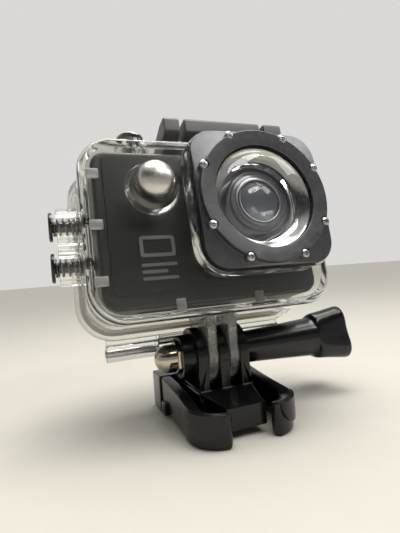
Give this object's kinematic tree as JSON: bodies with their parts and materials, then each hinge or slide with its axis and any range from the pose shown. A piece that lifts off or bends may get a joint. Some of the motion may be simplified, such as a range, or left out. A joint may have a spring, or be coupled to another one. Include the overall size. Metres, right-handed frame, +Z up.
{
  "type": "action camera",
  "caption": "Compact action camera in a clear hinged diving case with sprung push buttons and a top latch, tilting on a pronged quick-release buckle with a thumbscrew.",
  "frame": {"origin": "flat underside of the quick-release buckle, straight below the middle of the pinch bolt", "axes": "+Z up, lens looks along -Y with the case pitched back 12 degrees, +X to the right of someone facing the lens, along the pinch bolt towards the knob"},
  "size_m": [0.084, 0.0478, 0.0825],
  "materials": {
    "clear_shell": "clear",
    "window": "clear",
    "lens_glass": "coated",
    "screen_glass": "gloss",
    "black_satin": "satin",
    "black_gloss": "gloss",
    "steel": "brushed",
    "chrome": "polished",
    "plated_plastic": "polished",
    "charcoal": "satin",
    "panel": "satin",
    "print_grey": "printed",
    "lens_black": "gloss",
    "lens_metal": "anodised",
    "sensor": "gloss",
    "board": "gloss",
    "battery_wrap": "satin",
    "card": "satin",
    "rubber_black": "matte",
    "silicone": "matte"
  },
  "bodies": {
    "buckle": {"buckle_base": "black_satin", "acorn_nut": "chrome"},
    "squeeze_left": {"buckle_arm_left": "black_satin"},
    "squeeze_right": {"buckle_arm_right": "black_satin"},
    "thumbscrew": {"pinch_bolt": "steel", "thumbscrew_knob": "black_gloss"},
    "door": {"case_door": "clear_shell", "door_seal": "silicone"},
    "latch_lever": {"latch_lever": "black_satin", "latch_arm_pins": "steel"},
    "latch_hook": {"latch_hook": "black_satin"},
    "front_button": {"front_button": "chrome", "front_button_oring": "rubber_black"},
    "camera_front_button": {"camera_front_button": "charcoal"},
    "top_button": {"top_button": "plated_plastic", "top_button_oring": "rubber_black"},
    "camera_top_button": {"camera_top_button": "charcoal"},
    "side_button_upper": {"side_button_upper": "black_gloss", "side_button_upper_oring": "rubber_black"},
    "camera_side_button_upper": {"camera_side_button_upper": "charcoal"},
    "side_button_lower": {"side_button_lower": "black_gloss", "side_button_lower_oring": "rubber_black"},
    "camera_side_button_lower": {"camera_side_button_lower": "charcoal"},
    "case": {"battery": "battery_wrap", "battery_door": "charcoal", "bezel_screws": "chrome", "camera_back_cover": "charcoal", "camera_frame": "charcoal", "camera_front_cover": "charcoal", "camera_front_panel": "panel", "camera_print": "print_grey", "camera_screen": "screen_glass", "case_front_shell": "clear_shell", "front_button_spring": "steel", "hinge_pin": "steel", "image_sensor": "sensor", "latch_pivot_pin": "steel", "lens_barrel": "lens_black", "lens_bezel": "black_satin", "lens_front_glass": "lens_glass", "lens_rear_group": "lens_glass", "lens_ring": "lens_metal", "main_board": "board", "memory_card": "card", "side_button_lower_spring": "steel", "side_button_upper_spring": "steel", "top_button_spring": "steel", "window_gasket": "rubber_black", "window_glass": "window"}
  },
  "joints": [
    {"name": "case_tilt", "type": "hinge", "parent": "buckle", "child": "case", "pos_m": [0, 0, 0.017], "axis": [1, 0, 0], "range_deg": [-20, 56]},
    {"name": "thumbscrew_turn", "type": "hinge", "parent": "buckle", "child": "thumbscrew", "pos_m": [0, 0, 0.017], "axis": [1, 0, 0], "continuous": true},
    {"name": "squeeze_left", "type": "hinge", "parent": "buckle", "child": "squeeze_left", "pos_m": [-0.0125, 0.0078, 0.005], "axis": [0, 0, 1], "range_deg": [0, 2], "stiffness_Nm_per_rad": 6},
    {"name": "squeeze_right", "type": "hinge", "parent": "buckle", "child": "squeeze_right", "pos_m": [0.0125, 0.0078, 0.005], "axis": [0, 0, -1], "range_deg": [0, 2], "stiffness_Nm_per_rad": 6},
    {"name": "door_swing", "type": "hinge", "parent": "case", "child": "door", "pos_m": [-0.0009, 0.01209, 0.01811], "axis": [-1, 0, 0], "range_deg": [0, 90]},
    {"name": "latch_lift", "type": "hinge", "parent": "case", "child": "latch_lever", "pos_m": [0.0074, 0.00937, 0.07553], "axis": [-1, 0, 0], "range_deg": [0, 105]},
    {"name": "latch_hook_swing", "type": "hinge", "parent": "latch_lever", "child": "latch_hook", "pos_m": [0.0074, 0.00187, 0.07631], "axis": [-1, 0, 0], "range_deg": [-105, 0]},
    {"name": "front_button_press", "type": "slide", "parent": "case", "child": "front_button", "axis": [0, 0.9781, -0.2079], "range_m": [0, 0.0008], "stiffness_N_per_m": 1200, "deforming": ["front_button_spring"]},
    {"name": "camera_front_button_press", "type": "slide", "parent": "case", "child": "camera_front_button", "axis": [0, 0.9781, -0.2079], "range_m": [0, 0.0008], "stiffness_N_per_m": 600},
    {"name": "top_button_press", "type": "slide", "parent": "case", "child": "top_button", "axis": [0, -0.2079, -0.9781], "range_m": [0, 0.0008], "stiffness_N_per_m": 1200, "deforming": ["top_button_spring"]},
    {"name": "camera_top_button_press", "type": "slide", "parent": "case", "child": "camera_top_button", "axis": [0, -0.2079, -0.9781], "range_m": [0, 0.0008], "stiffness_N_per_m": 600},
    {"name": "side_button_upper_press", "type": "slide", "parent": "case", "child": "side_button_upper", "axis": [1, 0, 0], "range_m": [0, 0.0008], "stiffness_N_per_m": 1200, "deforming": ["side_button_upper_spring"]},
    {"name": "camera_side_button_upper_press", "type": "slide", "parent": "case", "child": "camera_side_button_upper", "axis": [1, 0, 0], "range_m": [0, 0.0008], "stiffness_N_per_m": 600},
    {"name": "side_button_lower_press", "type": "slide", "parent": "case", "child": "side_button_lower", "axis": [1, 0, 0], "range_m": [0, 0.0008], "stiffness_N_per_m": 1200, "deforming": ["side_button_lower_spring"]},
    {"name": "camera_side_button_lower_press", "type": "slide", "parent": "case", "child": "camera_side_button_lower", "axis": [1, 0, 0], "range_m": [0, 0.0008], "stiffness_N_per_m": 600}
  ],
  "couplings": [
    {"joint": "latch_hook_swing", "follows": "latch_lift", "ratio": -1},
    {"joint": "camera_front_button_press", "follows": "front_button_press", "ratio": 1},
    {"joint": "camera_top_button_press", "follows": "top_button_press", "ratio": 1},
    {"joint": "camera_side_button_upper_press", "follows": "side_button_upper_press", "ratio": 1},
    {"joint": "camera_side_button_lower_press", "follows": "side_button_lower_press", "ratio": 1}
  ]
}
